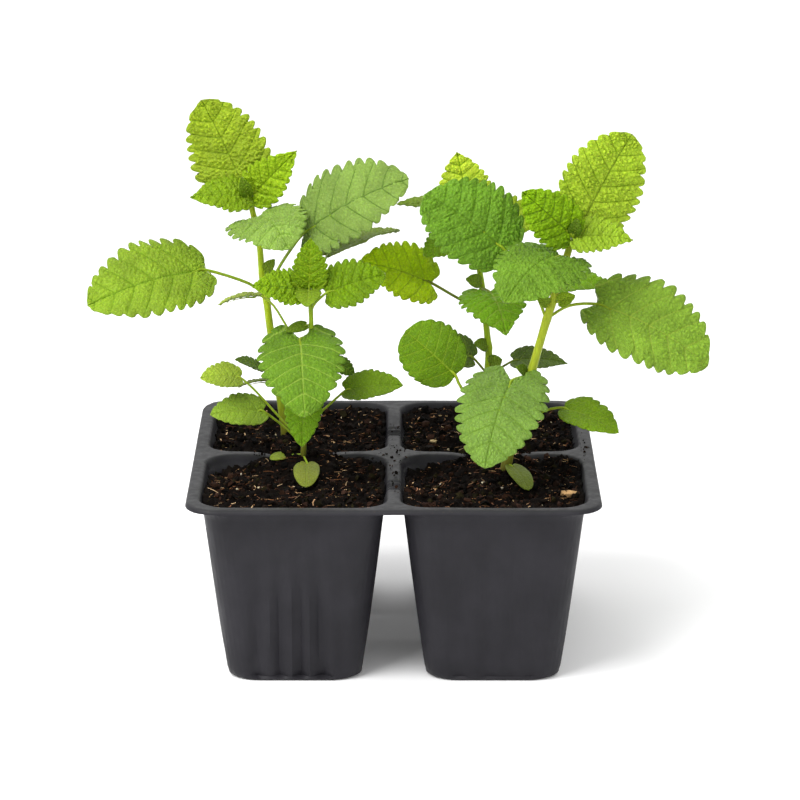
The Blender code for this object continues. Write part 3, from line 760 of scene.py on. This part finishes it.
plants = {
    "FrontLeft": {
        "radius": 0.0008, "footReach": 0.03, "stemTone": "A7CA24", "footTone": "5A5420", "stalkTone": "99B834",
        "stem": ((-31.5, -14, 66), (-30, -14, 90), (-28.5, -14, 112), (-28.5, -14, 120), (-29, -14, 127))},
    "RearLeft": {
        "radius": 0.00125, "stemTone": "B4D21E", "footTone": "7D7A38", "stalkTone": "99BB34", "footReach": 0.02,
        "stem": ((-39, 25, 66), (-43.5, 25, 100.5), (-45, 25, 113.5), (-46.5, 25, 123), (-47.5, 25, 135),
                 (-50.5, 25, 149.5))},
    "FrontRight": {
        "radius": 0.0015, "stemTone": "B5C939", "footTone": "6A6430", "stalkTone": "9FBC2E", "footReach": 0.018,
        "stem": ((38.3, -20, 64), (42.5, -20, 81), (47, -20, 98.5), (52.3, -20, 118), (55.3, -19, 127.5),
                 (60.5, -18, 145))},
    "RearRight": {
        "radius": 0.0012, "stemTone": "A8CB20", "footTone": "7D6A40", "stalkTone": "81962E", "footReach": 0.02,
        "stem": ((33.2, 28, 64), (33.6, 28, 92), (33.2, 28, 98), (30.7, 28, 120), (26.7, 28, 143.5))},
}
leaves = {
    "FrontLeft": (
        leaf("seedLeafFront", (-31.4, -14, 67.5), (-30, -18, 66), (-30, -34.5, 62.4), 9, "8D9B4A", seedLeaf,
             face=(0, -1, 5), crinkle=0.15),
        leaf("seedLeafLeft", (-31.4, -14, 68), (-37, -12, 67), (-43, -14, 66.5), 4, "9DB455", seedLeaf,
             face=(0, -1, 2), crinkle=0.1),
        leaf("lowLeft", (-31.3, -14, 71), (-45, -16, 84), (-63, -20, 84), 14, "92B54C", via=((-37, -14, 77),),
             teeth=8, cut=0.05, crinkle=0.25),
        leaf("lowLeftUpper", (-31.2, -14, 72), (-53, -14, 95.5), (-66.5, -16, 96), 12, "A1BD52",
             face=(0, -10, 17), via=((-40, -14.5, 82), (-48, -14, 91)), teeth=8, cut=0.05, crinkle=0.25),
        leaf("lowFront", (-29.8, -14, 95), (-30.5, -20, 94.5), (-31.5, -32, 76), 13, "7FB122",
             face=(0, -9, 5), cut=0.06, crinkle=0.3),
        leaf("lowRight", (-30.6, -14, 79), (-16.5, -16, 91.5), (3, -18, 94), 13, "7CA321", face=(0, -55, 84),
             via=((-24, -15, 84.5),), cut=0.05, crinkle=0.25, veins="7F9C48"),
        leaf("frontBig", (-28.5, -14, 110), (-32, -19, 110.5), (-30, -45, 90), 28, "77A537", arch=0.16,
             fold=-0.08, lobe=0.24, teeth=10, crinkle=0.45, veins="B2D27C"),
        leaf("topLeft", (-29, -14, 125), (-31.5, -16, 126.5), (-48.5, -18, 129), 15, "8FBA04", point=0.95,
             crinkle=0.8, veins="5F850A"),
        leaf("topCentre", (-29, -14, 126), (-29, -15, 127.5), (-28.5, -14, 144.5), 12, "84AF04",
             face=(1, -10, 1), point=0.85, crinkle=0.7, veins="A9C63A"),
        leaf("topFront", (-29, -14, 126), (-29, -16, 127), (-29.5, -25, 123.5), 8.5, "8CB030",
             face=(0, -5, 9), teeth=6),
        leaf("upperRight", (-28.4, -14, 119), (-23, -16, 126), (-3, -14, 132), 17, "80A904",
             face=(0, -25, 22), via=((-27, -15, 122),), crinkle=0.6, veins="6A8C1E"),
        leaf("upperBack", (-28.4, -14, 120), (-23, 15, 132), (2, 34, 136.5), 16, "93AE66", face=(0, 1, 10),
             via=((-27, -6, 127), (-25, 4, 130.5)), cut=0.06),
        leaf("upperLeft", (-29.2, -14, 103), (-46.5, -5, 122.5), (-60.5, -6, 119.5), 11, "A8BD73",
             face=(-4, 3, 20), via=((-35.5, -9, 110), (-41.5, -6, 119)), teeth=7, cut=0.12),
        leaf("budLeft", (-28.5, -14, 114), (-30, -15.5, 114.5), (-37, -18, 113), 4, "6E9020", face=(0, -4, 3),
             teeth=0),
    ),
    "RearLeft": (
        leaf("bigLeft", (-45, 25, 114), (-66, 17.5, 126), (-106, 0, 117.5), 31, "9ABE43", large,
             face=(0, -64, 77), via=((-51, 22, 120),), lobe=0.06, crinkle=0.55, veins="6F9A22"),
        leaf("bigRight", (-45, 25, 114), (-31, 10, 141), (5, 2, 162), 31, "93B674", large, face=(0, -64, 77),
             via=((-41, 20, 125), (-34.5, 13, 136.5)), lobe=0.08, crinkle=0.6, veins="4E7430"),
        leaf("frontHeart", (-49, 25, 142), (-47.5, 16, 145), (-36, -6, 139), 27, "99BF77", face=(0, -55, 84),
             arch=0.2, fold=-0.1, lobe=0.22, teeth=10, crinkle=0.55, veins="7FAA48"),
        leaf("topBack", (-50.5, 25, 148), (-51.5, 24.5, 151), (-67.5, 34, 183), 27, "AFCD40", upright,
             face=(-30, -92, 25), cut=0.135, point=0.58, crinkle=0.9, veins="6F8C12"),
        leaf("topRight", (-50.5, 25, 148), (-50, 24, 151), (-34, 22, 167.5), 15, "B0DB28", crown,
             face=(6, -17, 10), veins="7C9C1C"),
        leaf("topLeft", (-50.5, 25, 148), (-51, 23, 151), (-71, 20, 151.5), 16, "96BE24", crown,
             veins="7C9C22"),
        leaf("topCentre", (-50.5, 25, 148), (-51, 22.5, 151), (-53, 20, 158.5), 4.5, "6F9418",
             face=(0, -5, 1), teeth=0, crinkle=0.6),
        leaf("budRight", (-46.5, 25, 122), (-45.5, 24, 124), (-42, 22, 128.5), 4, "7D9E22", bud),
        leaf("lowLeft", (-41.4, 25, 84), (-47, 22, 89), (-56, 20, 93), 7, "5E7F1E", face=(0, -3, 10),
             teeth=6),
        leaf("lowLeftEdge", (-41.2, 25, 82), (-44, 21, 85), (-55, 18, 83.5), 7, "8A9B6E", face=(0, 1, 5),
             teeth=6),
        leaf("lowRight", (-41.6, 25, 86), (-21, 18, 93), (-14, 16, 88.5), 6, "4F7016", face=(0, -4, 3),
             teeth=6),
    ),
    "FrontRight": (
        leaf("seedLeafFront", (38.8, -20, 66), (40.5, -23, 66.5), (46, -38.5, 62.4), 7.5, "8CA24C", seedLeaf,
             face=(1, -2, 10), crinkle=0.15),
        leaf("lowLeft", (42.2, -20, 80), (21, -24, 99), (4, -20, 113.5), 22, "709C04", face=(0, -17, 10),
             via=((25, -24, 92.5),), lobe=0.04, teeth=8, cut=0.05, point=0.45, crinkle=0.2, veins="A4BC4C"),
        leaf("lowRight", (42.4, -20, 80.5), (58, -26, 88), (76.5, -34, 81.5), 15, "789F0F", face=(0, -1, 2),
             via=((52, -24, 86.5),), lobe=0.05, teeth=7, cut=0.05, crinkle=0.2, veins="93AC50"),
        leaf("frontBig", (46.8, -20, 98), (40.5, -25, 97.5), (30.5, -55, 75), 29, "87AF66", face=(-1, -6, 8),
             arch=0.14, fold=-0.06, lobe=0.2, teeth=11, point=0.66, veins="6F9636"),
        leaf("bigRight", (52.3, -20, 118), (69.5, -18, 122.5), (107, -26, 103), 33, "98C257",
             face=(0, -31, 39), via=((60, -18, 122),), arch=0.1, lobe=0.12, teeth=11, cut=0.135, point=0.58,
             crinkle=0.65, veins="A9C468"),
        leaf("bigLeft", (52.3, -20, 117), (38, -18, 141), (10.5, -8, 158.5), 31, "7BAF3E", face=(0, -24, 23),
             via=((48, -19, 127),), arch=0.12, teeth=11, point=0.6, crinkle=0.8, veins="5F8A28"),
        leaf("frontUpper", (58.2, -18.5, 137), (56.5, -21, 140), (37, -48, 130.5), 29, "7EAC42",
             face=(-15, -62, 77), arch=0.16, fold=-0.12, lobe=0.18, teeth=11, crinkle=0.75, veins="6F9A30"),
        leaf("topBack", (60.5, -18, 144), (63.5, -16.5, 149), (81, -6, 179), 27, "C4E951", upright,
             face=(7, -23, 7), point=0.55, crinkle=0.9, veins="7F9C22"),
        leaf("topRight", (60.5, -18, 144), (61.5, -19, 146.5), (81, -22, 146), 16, "ADD44A", crown,
             veins="7F9E22"),
        leaf("topLeft", (60.5, -18, 144), (60.5, -20, 147), (43.5, -22, 162.5), 17, "95C704",
             face=(-3, -8, 5), crinkle=0.8, veins="5F840A"),
        leaf("topCentre", (60.5, -18, 144), (61, -20, 147), (62, -22, 153), 4.5, "5F8414", face=(0, -5, 1),
             teeth=0, crinkle=0.6),
        leaf("budRight", (53.8, -19.5, 123), (56, -21, 124), (61.5, -22, 126.5), 5, "9CC030", bud),
        leaf("budLeft", (53.6, -19.5, 122), (52.5, -21, 123), (49, -22, 126.5), 4, "8CB030", bud),
        leaf("budLow", (47, -20, 98.5), (45.5, -21.5, 99), (42, -24, 102), 4.5, "5E8010", face=(0, -1, 1),
             teeth=0),
    ),
    "RearRight": (
        leaf("lowRight", (33.5, 28, 85), (42.5, 26, 91), (61.5, 26, 90), 12, "6E8A4A", face=(0, -1, 2),
             cut=0.05, point=0.95, crinkle=0.2),
        leaf("lowLeft", (33.5, 28, 85), (28, 26, 92), (11, 25, 98), 14, "6E8A4A", cut=0.05, crinkle=0.2),
        leaf("frontHeart", (31, 28, 117), (33.5, 20, 117.5), (39, 0, 107), 23, "88C02C", arch=0.2, fold=-0.1,
             lobe=0.2, point=0.95, crinkle=0.55, veins="A0BC68"),
        # painted light: this leaf's tone is raised far above the others, to make up for the shade it lies in
        # under the leaves above
        leaf("bigLeft", (32, 28, 108), (13, 22, 120.3), (-12, 15, 129.5), 22, "D2FA16", face=(0, -24, 23),
             via=((22, 24, 114.5),), lobe=0.14, teeth=10, crinkle=0.55, veins="A2C03A"),
        leaf("right", (32, 28, 108), (52, 26, 117), (74, 18, 121), 18, "7CAB08", face=(0, -6, 19),
             via=((42, 27, 113.5),)),
        leaf("topBack", (26.8, 28, 142), (26.5, 28.5, 145), (22, 31, 165), 18, "DCFA60", face=(-1, -20, 4),
             arch=-0.05, fold=0.05, point=0.85, crinkle=0.7, veins="8FAE28"),
        leaf("topRight", (26.8, 28, 142), (29, 26, 144), (50, 21, 141.5), 18, "A8C838", face=(10, -75, 66),
             crinkle=0.8),
        leaf("topLeft", (26.8, 28, 142), (24.5, 26, 144), (1, 23, 148.5), 13, "83A14F", face=(0, -1, 10),
             crinkle=0.8),
        leaf("upperLeft", (27.9, 28, 136), (24, 22, 138), (10.5, 16, 131.5), 13, "86B52A", face=(-2, -7, 7)),
        leaf("budUpper", (31, 28, 118), (30.5, 26, 119.5), (25.5, 23, 121.5), 5, "86A830", bud),
        leaf("budMiddle", (33.3, 28, 96), (33, 26.5, 96), (28.5, 24, 98), 5, "6E9020", face=(0, -4, 3),
             teeth=0),
        leaf("budLow", (33.5, 28, 89), (34, 26, 89.5), (38, 23, 92), 6, "7FA03A", bud),
    ),
}

blade = {"lean": 0.36, "veins": 6, "sweep": 0.25, "midribSink": 0.45, "midribWide": 0.42, "veinSink": 0.42,
         "veinWide": 0.38, "quilt": 0.42, "pucker": 1.4, "cell": 1.12, "thick": 0.00032, "curl": 0.75,
         "wave": 0.45, "toothDome": 0.22, "basePower": 0.40, "lobeTurn": 0.006, "crowd": 1.4,
         "firstVein": 0.35, "margin": 0.82, "stocky": 16, "uvScale": 10}
leafSteps = ((24.0, 124, 52), (9.0, 76, 28), (0.0, 36, 14))  # from this width on: steps along and across


def halfWidth(u, point):  # from 0 to 1: broad near the base and narrower to the tip
    low = blade["basePower"]
    peak = low / (low + point)
    return (1 - u) ** point * u ** low / ((1 - peak) ** point * peak ** low)


def leafAxes(row):
    base = spot(*row["base"])
    along = spot(*row["tip"]) - base
    length = along.length
    along.normalize()
    out = Vector(row["face"])
    out = (out - out.dot(along) * along).normalized()
    return base, length, along, out.cross(along), out


def toothBump(u, side, row, order):  # low in the notches and high on the teeth
    if not row["teeth"]:
        return np.zeros(len(u))
    phase = (u + 0.012 * np.sin(u * 11 + order)) * row["teeth"] + np.where(side > 0, 0.35, 0)
    share = phase % 1
    bump = 2 * np.sqrt(np.clip(1 - (2 * share - 1) ** 2, 0, 1)) - 1.25
    return bump * smoothStep(0.0, 0.10, u) * (1 - smoothStep(0.95, 1.0, u))


def cellNet(across, along, order, size):  # how far each point lies from the edge of its cell in the net
    near = np.zeros(len(across))
    for k in range(len(across)):
        gaps = noise.voronoi(Vector((along[k] / size, across[k] / size, order * 5.7)))[0]
        near[k] = gaps[1] - gaps[0]
    return near


def bendLeaf(row, order, u, v):  # the leaf's points, and what its colours need
    base, length, along, across, out = leafAxes(row)
    rim = np.abs(v)
    half = row["width"] * mm / 2
    spacing = length / mm / blade["veins"]
    bump = toothBump(u, v, row, order)
    cut = row["cut"] * bump * rim ** 7
    spread = v * half * halfWidth(u, row["point"]) * (1 + cut)
    lobe = row["lobe"] * length * (1 - u) ** 3 * rim ** 1.5 * (1 - np.exp(-u / blade["lobeTurn"]))
    lean = blade["lean"] / max(row["teeth"], 1) * bump * rim ** 7 * smoothStep(0.05, 0.3, u)
    reach = (u + lean * (1 - u)) * length - lobe
    wide = np.abs(spread) / mm
    s = u - blade["sweep"] * (np.abs(spread) / half) ** 1.15
    q = s * blade["veins"] + blade["firstVein"]
    gap = np.abs(q - np.round(q)) * spacing
    strong = min(1.0, row["crinkle"] / 0.5)
    ribWide = blade["midribWide"] * min(1.0, row["width"] / 20) * (1.15 - 0.75 * u)
    sideWide = blade["veinWide"] * min(1.0, row["width"] / blade["stocky"]) * (1.1 - 0.5 * rim) * strong ** 0.5
    midrib = np.exp(-(wide / ribWide / 1.3) ** 2)
    sideVein = np.exp(-(gap / sideWide / 1.3) ** 2) * smoothStep(-0.12, 0.0, s)
    forkGap = np.abs(q + 0.5 - np.round(q + 0.5)) * spacing
    fork = np.exp(-(forkGap / sideWide) ** 2) * smoothStep(0.40, 0.60, rim) * (1 - smoothStep(0.9, 1.0, rim))
    size = blade["cell"] * (1.0 if row["width"] > 20 else 0.8)
    cell = cellNet(spread / mm, q * spacing * 0.85, order, size)
    dome = smoothStep(0.0, 0.5, cell) * (1 - 0.8 * strong * fork)
    margin = smoothStep(blade["margin"], 1.0, rim)
    inside = (1 - midrib) * (1 - 0.8 * margin)
    scale = min(1.0, row["width"] / blade["stocky"])
    lift = -blade["midribSink"] * midrib - blade["veinSink"] * strong * sideVein
    lift += blade["quilt"] * strong ** 2 * (1 - np.exp(-(gap / 1.5) ** 2)) * inside
    lift += blade["pucker"] * row["crinkle"] * (dome - 0.5) * inside * (1 - 0.7 * sideVein)
    lift -= blade["curl"] * rim ** 5 * (0.5 + 0.5 * np.sin(u * 3.1)) * half / 0.015
    ripple = np.sin(u * 15 + order * 2.1 + np.where(v > 0, 1.3, 0))
    lift += blade["wave"] * ripple * rim ** 3 * half / 0.012
    lift += blade["toothDome"] * bump * rim ** 5
    lift *= scale * (1 - smoothStep(0.97, 1.0, u))
    rise = row["arch"] * length * 4 * u * (1 - u) + row["fold"] * np.abs(spread) + lift * mm
    points = np.array(base) + np.outer(reach, along) + np.outer(spread, across) + np.outer(rise, out)
    lines = np.stack([wide / ribWide, q, spacing / sideWide], axis=1)
    return points, reach / mm, spread / mm, dome, margin, lines


def makeLeaf(row, order, skins):
    stepsAlong, stepsAcross = next(steps[1:] for steps in leafSteps if row["width"] >= steps[0])
    deselectAll()
    bpy.ops.mesh.primitive_grid_add(x_subdivisions=stepsAlong, y_subdivisions=stepsAcross, size=2)
    piece = bpy.context.object
    flat = meshPoints(piece)
    u = np.clip((flat[:, 0] + 1) / 2, 0, 1) ** blade["crowd"]
    points, reach, spread, dome, margin, lines = bendLeaf(row, order, u, flat[:, 1])
    setPoints(piece, points)
    # the pucker domes are kept for the shader, which paints shade in their hollows and light on their tops
    setValues(piece, "net", "FLOAT", "value", dome)
    setValues(piece, "vein", "FLOAT_VECTOR", "vector", lines)
    draw = random.Random(row["name"] + str(order))
    colour = fromHex(row["tone"]) * leafTone
    fade = (0.90 + 0.22 * u + draw.uniform(-0.04, 0.04)) * (1 - 0.10 * margin)
    setTint(piece, colour * fade[:, None])
    pale = fromHex(row["veins"]) * leafTone
    # vein colour, mixed in more on crinkled leaves; the darker vein colours are painted shade in the sunken
    # veins
    setTint(piece, colour + (pale - colour) * min(1.0, 0.3 + row["crinkle"]), "veinTint")
    uvLayer = piece.data.uv_layers[0]
    uvLayer.name = "UVMap"
    corner = np.zeros(len(piece.data.loops), np.int32)
    piece.data.loops.foreach_get("vertex_index", corner)
    uv = np.stack([reach / blade["uvScale"] + order * 3.7, spread / blade["uvScale"] + order * 1.3], axis=1)
    uvLayer.data.foreach_set("uv", uv[corner].astype(np.float32).ravel())
    sheet = piece.modifiers.new("blade", "SOLIDIFY")
    sheet.thickness = blade["thick"]
    sheet.offset = -1
    sheet.material_offset = 1
    coat(piece, *skins)
    applyModifier(piece, sheet)
    smoothFaces(piece)
    return piece


def smoothPath(points, steps):
    ends = [2 * points[0] - points[1], *points, 2 * points[-1] - points[-2]]
    path = [points[0]]
    for before, start, end, after in zip(ends, ends[1:], ends[2:], ends[3:]):
        for step in range(1, steps + 1):
            t = step / steps
            bend = (2 * before - 5 * start + 4 * end - after) * t ** 2
            turn = (3 * start - before - 3 * end + after) * t ** 3
            path.append(0.5 * (2 * start + (end - before) * t + bend + turn))
    return path


def makeTube(path, radii, sides):
    deselectAll()
    bpy.ops.curve.primitive_nurbs_path_add()
    piece = bpy.context.object
    piece.location = (0, 0, 0)
    curve = piece.data
    curve.splines.clear()
    line = curve.splines.new("POLY")
    line.points.add(len(path) - 1)
    for point, place, radius in zip(line.points, path, radii):
        point.co = (*place, 1)
        point.radius = radius
    curve.bevel_depth = 1.0
    curve.bevel_resolution = sides
    curve.use_fill_caps = True
    onlyThis(piece)
    bpy.ops.object.convert(target="MESH")
    setMode("EDIT")
    bpy.ops.mesh.select_all(action="SELECT")
    bpy.ops.mesh.remove_doubles(threshold=0.00001)
    bpy.ops.mesh.normals_make_consistent(inside=False)
    setMode("OBJECT")
    smoothFaces(piece)
    coat(piece)
    return piece


stalk = {"radius": 0.00055, "small": 0.50, "full": 50, "foot": 1.25, "end": 0.12, "steps": 4, "sides": 2,
         "ribs": (0.12, 0.30, 0.52, 0.80), "ribUnder": 0.00095}
stem = {"buried": 0.008, "steps": 6, "sides": 3, "foot": 1.15, "taper": 0.38, "swell": 0.16,
        "swellReach": 0.0018, "soilTop": 0.062}


def ribPoint(row, u):  # a point of the midrib, which runs on under the blade
    base, length, along, _, out = leafAxes(row)
    return base + along * u * length + out * (row["arch"] * length * 4 * u * (1 - u) - stalk["ribUnder"])


def makeStalk(row, cell):
    points = [spot(*p) for p in (row["foot"], *row["via"], row["base"])]
    ribs = [ribPoint(row, u) for u in stalk["ribs"]]
    path = smoothPath(points + ribs, stalk["steps"])
    radius = stalk["radius"] * min(1.0, stalk["small"] + row["width"] / stalk["full"])
    ribSteps = stalk["steps"] * len(ribs)
    radii = []
    for step in range(len(path)):
        left = min(1.0, (len(path) - 1 - step) / ribSteps)
        wide = stalk["end"] + (1 - stalk["end"]) * left
        radii.append(radius * wide * (stalk["foot"] if step == 0 else 1))
    piece = makeTube(path, radii, stalk["sides"])
    setTint(piece, fromHex(plants[cell]["stalkTone"]) * leafTone)
    return piece


def makeStem(cell):
    plant = plants[cell]
    points = [spot(*p) for p in plant["stem"]]
    path = [points[0] - Vector((0, 0, stem["buried"]))] + smoothPath(points, stem["steps"])
    feet = [spot(*row["foot"]) for row in leaves[cell]]
    radii = []
    for step, place in enumerate(path):
        near = min((place - foot).length for foot in feet)
        swell = 1 + stem["swell"] * exp(-(near / stem["swellReach"]) ** 2)
        radii.append(plant["radius"] * (stem["foot"] - stem["taper"] * step / (len(path) - 1)) * swell)
    piece = makeTube(path, radii, stem["sides"])
    low = fromHex(plant["footTone"])
    high = fromHex(plant["stemTone"])
    height = meshPoints(piece)[:, 2:]
    share = smoothStep(stem["soilTop"], stem["soilTop"] + plant["footReach"], height)
    setTint(piece, (low + (high - low) * share) * leafTone)
    return piece


def makePlants():
    skins = (leafMaterial("leafTop", 0), leafMaterial("leafUnder", 1))
    stemSkin = stemMaterial()
    order = 0
    for cell in plants:
        blades = []
        stalks = [makeStem(cell)]
        for row in leaves[cell]:
            order += 1
            blades.append(makeLeaf(row, order, skins))
            stalks.append(makeStalk(row, cell))
        leafPiece = joinPieces(blades, "leaves" + cell)
        stemPiece = joinPieces(stalks, "stem" + cell)
        coat(stemPiece, stemSkin)
        for piece in (leafPiece, stemPiece):
            standFor(piece, "leaf", "plant_" + nodeNames[cell])
        print("plant", cell, len(leafPiece.data.polygons), "leaf faces")


makeRoom()
makeCamera()
makeTray()
makeSoil()
makePlants()
